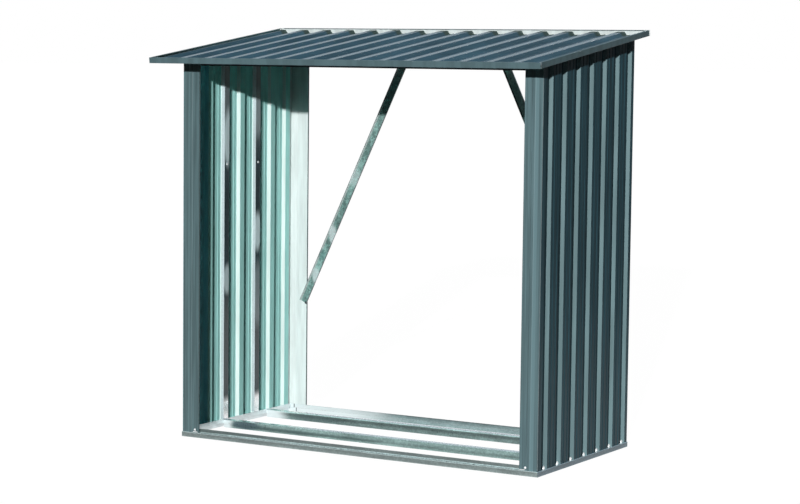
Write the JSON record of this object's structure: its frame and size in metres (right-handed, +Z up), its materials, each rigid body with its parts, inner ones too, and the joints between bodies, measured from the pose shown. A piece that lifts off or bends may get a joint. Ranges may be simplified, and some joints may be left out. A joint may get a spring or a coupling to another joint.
{
  "type": "log store",
  "caption": "Open-fronted log store of profiled steel sheet with a lean-to roof, corner posts, a low steel base frame and diagonal rear braces.",
  "frame": {"origin": "middle of the bounding box in plan, on the floor", "axes": "+X along the front to the right as seen from the front, +Y from the open front to the rear, +Z up"},
  "size_m": [1.63, 0.892, 1.5608],
  "materials": {
    "base_steel": "galvanised, spangled",
    "bearer_steel": "galvanised, spangled",
    "brace_steel": "galvanised, spangled",
    "stiffener_steel": "galvanised, spangled",
    "post_paint": "satin anthracite coat outside, pale backing coat inside",
    "wall_sheet": "satin anthracite coat outside, pale backing coat inside",
    "rail_paint": "satin anthracite coat outside, pale backing coat inside",
    "roof_sheet": "satin anthracite coat outside, pale backing coat inside",
    "trim_paint": "satin anthracite coat outside, pale backing coat inside"
  },
  "bodies": {
    "root": {"base_front_rail": "base_steel", "base_rear_rail": "base_steel", "base_left_rail": "base_steel", "base_right_rail": "base_steel", "front_bearer_left": "bearer_steel", "front_bearer_right": "bearer_steel", "rear_bearer": "bearer_steel", "front_left_post": "post_paint", "front_right_post": "post_paint", "rear_left_post": "post_paint", "rear_right_post": "post_paint", "left_wall": "wall_sheet", "right_wall": "wall_sheet", "front_header": "rail_paint", "rear_header": "rail_paint", "left_top_rail": "rail_paint", "right_top_rail": "rail_paint", "roof_sheet_left": "roof_sheet", "roof_sheet_middle": "roof_sheet", "roof_sheet_right": "roof_sheet", "front_trim": "trim_paint", "rear_trim": "trim_paint", "left_trim": "trim_paint", "right_trim": "trim_paint", "left_brace": "brace_steel", "right_brace": "brace_steel", "left_front_stiffener": "stiffener_steel", "left_rear_stiffener": "stiffener_steel", "right_front_stiffener": "stiffener_steel", "right_rear_stiffener": "stiffener_steel"}
  },
  "joints": []
}
